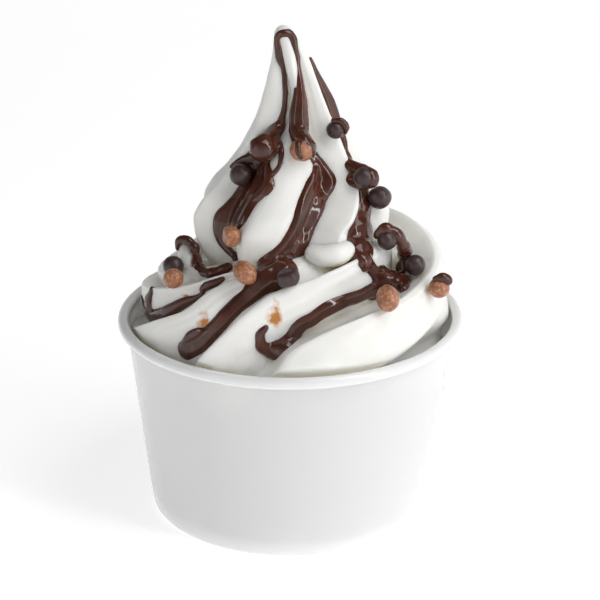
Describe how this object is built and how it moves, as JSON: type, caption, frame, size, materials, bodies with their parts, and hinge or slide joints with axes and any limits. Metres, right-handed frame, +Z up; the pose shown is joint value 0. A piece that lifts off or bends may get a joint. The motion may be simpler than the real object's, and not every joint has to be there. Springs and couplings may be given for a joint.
{
  "type": "frozen yogurt cup",
  "caption": "Round white paper cup with a rolled rim, filled with a tall ribbed soft-serve frozen yogurt swirl that carries chocolate sauce and small crisp chocolate pearls.",
  "frame": {"origin": "centre of the cup's foot ring, on the surface the cup stands on", "axes": "+Z up along the cup's axis; -Y is the front, the side with most of the sauce and pearls; +X is to its right"},
  "size_m": [0.097, 0.097, 0.1384],
  "materials": {
    "cup_paper": "smooth white coated paper, slightly glossy",
    "yogurt": "soft moist cream white, satin",
    "dark_chocolate": "glossy dark chocolate coating",
    "milk_chocolate": "uneven satin milk chocolate coating"
  },
  "bodies": {
    "root": {"cup": "cup_paper", "yogurt": "yogurt", "pearl_dark_peak_left": "dark_chocolate", "pearl_dark_peak_high_left": "dark_chocolate", "pearl_dark_peak_high_right": "dark_chocolate", "pearl_dark_peak_right": "dark_chocolate", "pearl_dark_shoulder_right": "dark_chocolate", "pearl_dark_skirt_left": "dark_chocolate", "pearl_dark_skirt_right": "dark_chocolate", "pearl_dark_valley_right": "dark_chocolate", "pearl_milk_peak_front": "milk_chocolate", "pearl_milk_foot_left": "milk_chocolate", "pearl_milk_skirt_left": "milk_chocolate", "pearl_milk_skirt_front": "milk_chocolate", "pearl_milk_skirt_right": "milk_chocolate", "chip_dark_foot_front": "dark_chocolate", "chip_milk_foot_left": "milk_chocolate"}
  },
  "joints": []
}
